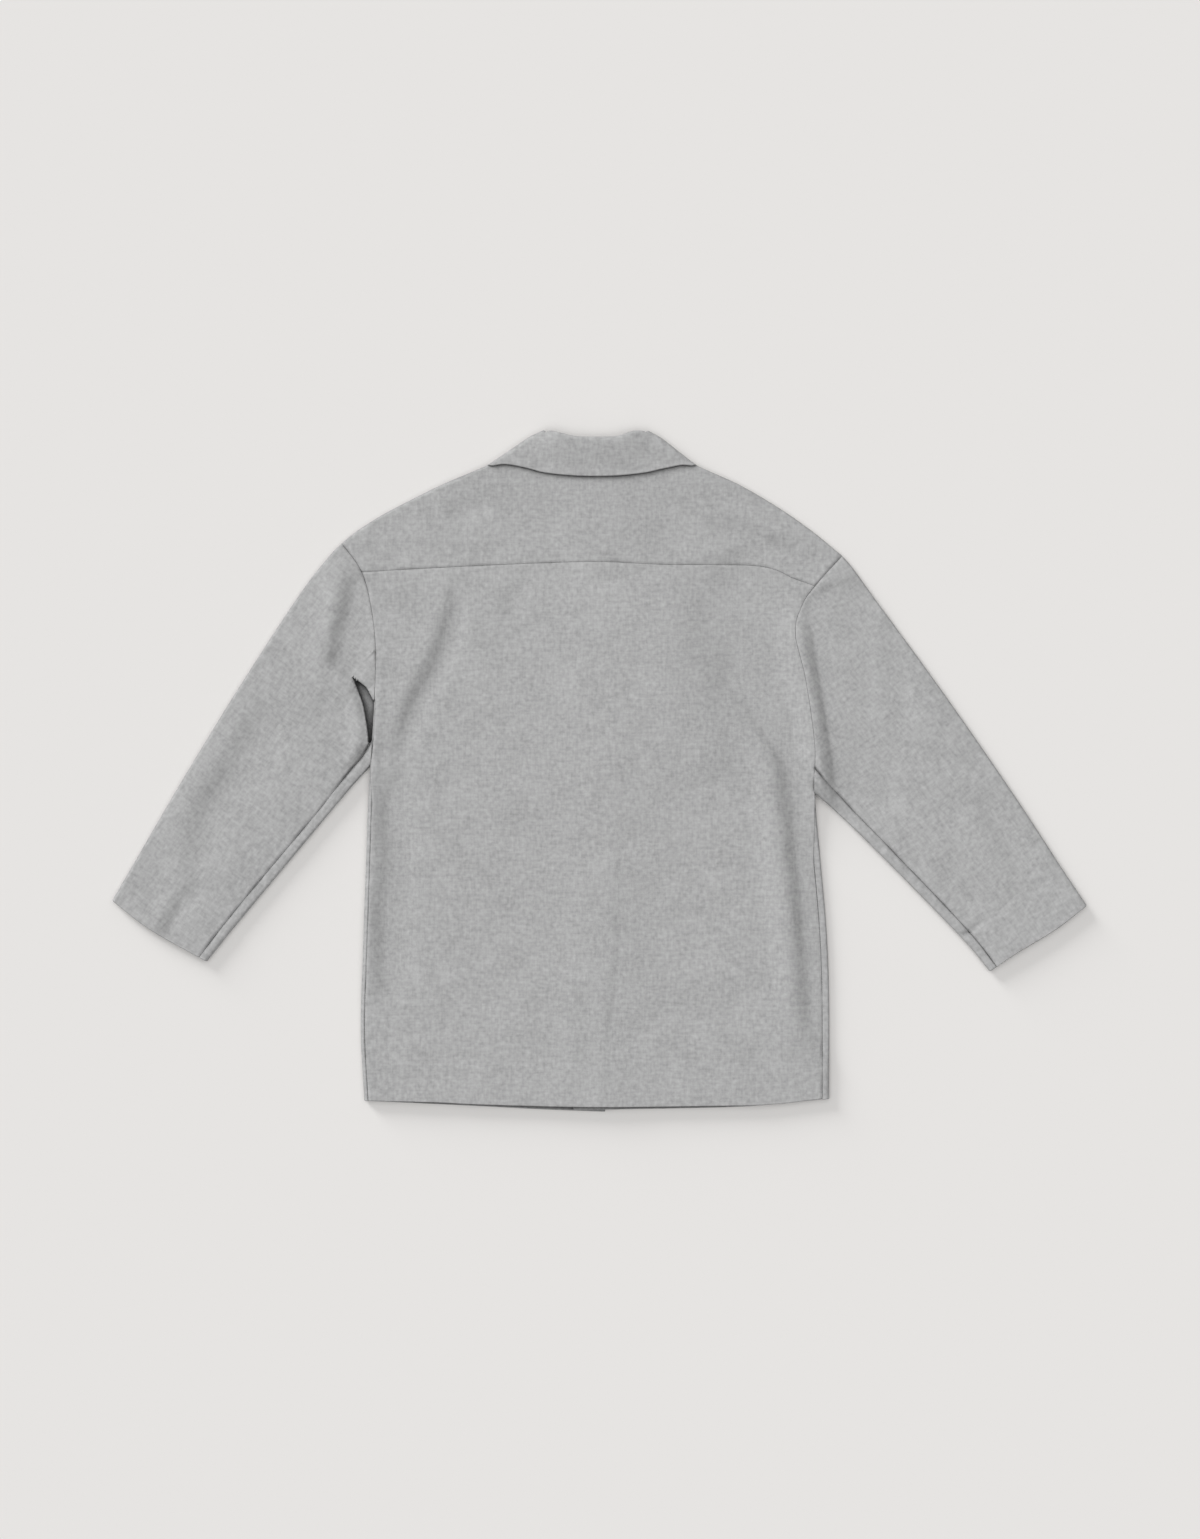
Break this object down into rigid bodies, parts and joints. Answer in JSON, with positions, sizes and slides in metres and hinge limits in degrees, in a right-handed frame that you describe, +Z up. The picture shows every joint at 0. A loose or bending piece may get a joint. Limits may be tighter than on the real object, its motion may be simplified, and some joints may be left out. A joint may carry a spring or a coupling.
{
  "type": "child's wool jacket laid flat",
  "caption": "Grey wool jacket laid flat with its back up: yoke, turned-down collar, dropped shoulders and long flattened sleeves.",
  "frame": {"origin": "middle of the jacket's outline, on the surface that it lies on", "axes": "+X across the jacket towards the wearer's right sleeve, +Y towards the collar, +Z up out of the back"},
  "size_m": [0.973, 0.68, 0.011],
  "materials": {
    "wool": "brushed heather-grey wool flannel",
    "button": "moulded matte resin"
  },
  "bodies": {
    "root": {"back_panel": "wool", "back_yoke": "wool", "front_left": "wool", "front_right": "wool", "sleeve_left": "wool", "sleeve_right": "wool", "collar": "wool", "button_1": "button", "button_2": "button", "button_3": "button", "button_4": "button", "button_5": "button"}
  },
  "joints": []
}
